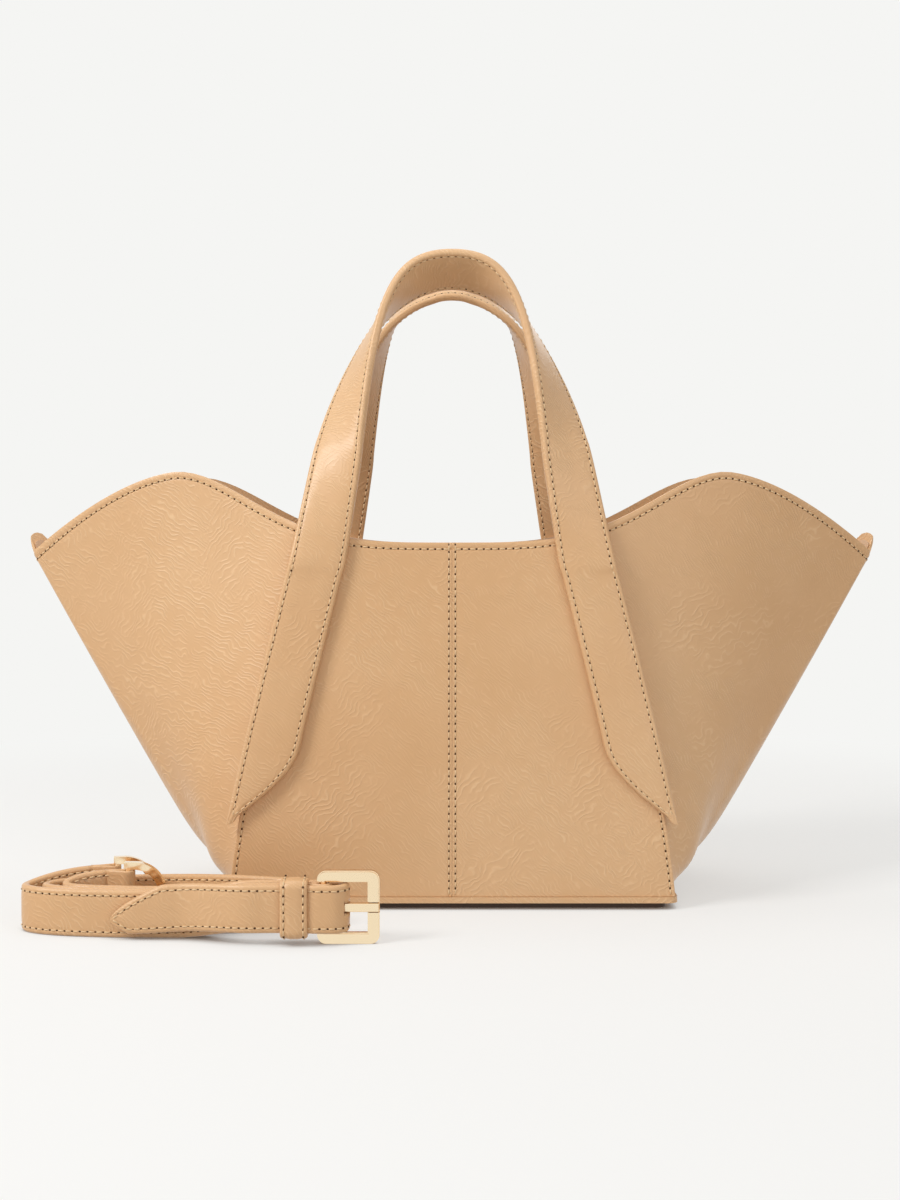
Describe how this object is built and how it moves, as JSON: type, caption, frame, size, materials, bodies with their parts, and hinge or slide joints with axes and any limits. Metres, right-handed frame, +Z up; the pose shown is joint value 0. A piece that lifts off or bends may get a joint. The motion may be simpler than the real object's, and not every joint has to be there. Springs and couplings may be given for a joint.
{
  "type": "trapeze bag",
  "caption": "Small trapeze tote in smooth tan leather with folded wings, twisted carrying handles, and a coiled shoulder strap with a buckle and snap hooks beside it.",
  "frame": {"origin": "centre of the base on the surface that the bag stands on", "axes": "+Z up, +X along the bag to the right seen from the front, the front faces -Y"},
  "size_m": [0.3844, 0.1894, 0.2805],
  "materials": {
    "leather": "smooth tan leather with a soft sheen",
    "sole": "thick smooth leather",
    "lining": "matt flesh side and thin lining",
    "board": "stiff pressed board",
    "gold": "polished pale gold plating"
  },
  "bodies": {
    "root": {"base_panel": "sole", "base_welt": "leather", "base_board": "board", "base_lining": "lining", "front_panel_left": "leather", "front_panel_right": "leather", "back_panel_left": "leather", "back_panel_right": "leather", "side_gusset_left": "leather", "side_gusset_right": "leather", "front_board": "board", "back_board": "board", "front_lining": "lining", "back_lining": "lining", "side_lining_left": "lining", "side_lining_right": "lining", "slip_pocket": "lining", "front_handle_tab_left": "leather", "front_handle_tab_right": "leather", "back_handle_tab_left": "leather", "back_handle_tab_right": "leather", "ring_tab_left": "leather", "ring_tab_right": "leather"},
    "front_handle": {"front_handle_loop": "leather"},
    "back_handle": {"back_handle_loop": "leather"},
    "ring_left": {"ring_left": "gold"},
    "ring_right": {"ring_right": "gold"},
    "strap": {"strap_long": "leather", "strap_short": "leather", "hook_eye_long": "gold", "hook_eye_short": "gold"},
    "keeper": {"strap_keeper": "leather"},
    "buckle": {"buckle_frame": "gold"},
    "prong": {"buckle_prong": "gold"},
    "long_hook": {"hook_body_long": "gold", "hook_pin_long": "gold"},
    "long_gate": {"hook_gate_long": "gold"},
    "short_hook": {"hook_body_short": "gold", "hook_pin_short": "gold"},
    "short_gate": {"hook_gate_short": "gold"}
  },
  "joints": [
    {"name": "front_handle_swing", "type": "hinge", "parent": "root", "child": "front_handle", "pos_m": [0, -0.05291, 0.1615], "axis": [1, 0, 0], "range_deg": [-6, 96]},
    {"name": "back_handle_swing", "type": "hinge", "parent": "root", "child": "back_handle", "pos_m": [0, 0.05291, 0.1615], "axis": [-1, 0, 0], "range_deg": [-6, 96]},
    {"name": "ring_left_swing", "type": "hinge", "parent": "root", "child": "ring_left", "pos_m": [-0.16102, 0, 0.131], "axis": [0, 0, 1], "range_deg": [-50, 50]},
    {"name": "ring_right_swing", "type": "hinge", "parent": "root", "child": "ring_right", "pos_m": [0.16102, 0, 0.131], "axis": [0, 0, 1], "range_deg": [-50, 50]},
    {"name": "strap_lift", "type": "slide", "parent": "root", "child": "strap", "axis": [0, 0, 1], "range_m": [0, 0.2]},
    {"name": "keeper_slide", "type": "slide", "parent": "strap", "child": "keeper", "axis": [1, 0, 0], "range_m": [-0.008, 0]},
    {"name": "buckle_swing", "type": "hinge", "parent": "strap", "child": "buckle", "pos_m": [-0.0496, -0.119, 0.01415], "axis": [0, 0, 1], "range_deg": [0, 20]},
    {"name": "prong_swing", "type": "hinge", "parent": "strap", "child": "prong", "pos_m": [-0.0496, -0.119, 0.01415], "axis": [0, 0, -1], "range_deg": [0, 14]},
    {"name": "long_hook_swivel", "type": "hinge", "parent": "strap", "child": "long_hook", "pos_m": [-0.13087, -0.08521, 0.0126], "axis": [0.9986, -0.0523, 0], "continuous": true},
    {"name": "long_gate_open", "type": "hinge", "parent": "long_hook", "child": "long_gate", "pos_m": [-0.10797, -0.08972, 0.0126], "axis": [0, 0, 1], "range_deg": [0, 22], "stiffness_Nm_per_rad": 0.01, "springref_deg": -11.46},
    {"name": "short_hook_swivel", "type": "hinge", "parent": "strap", "child": "short_hook", "pos_m": [-0.13743, -0.07381, 0.0126], "axis": [0.9848, 0.1736, 0], "continuous": true},
    {"name": "short_gate_open", "type": "hinge", "parent": "short_hook", "child": "short_gate", "pos_m": [-0.11411, -0.07305, 0.0126], "axis": [0, 0, 1], "range_deg": [0, 22], "stiffness_Nm_per_rad": 0.01, "springref_deg": -11.46}
  ]
}
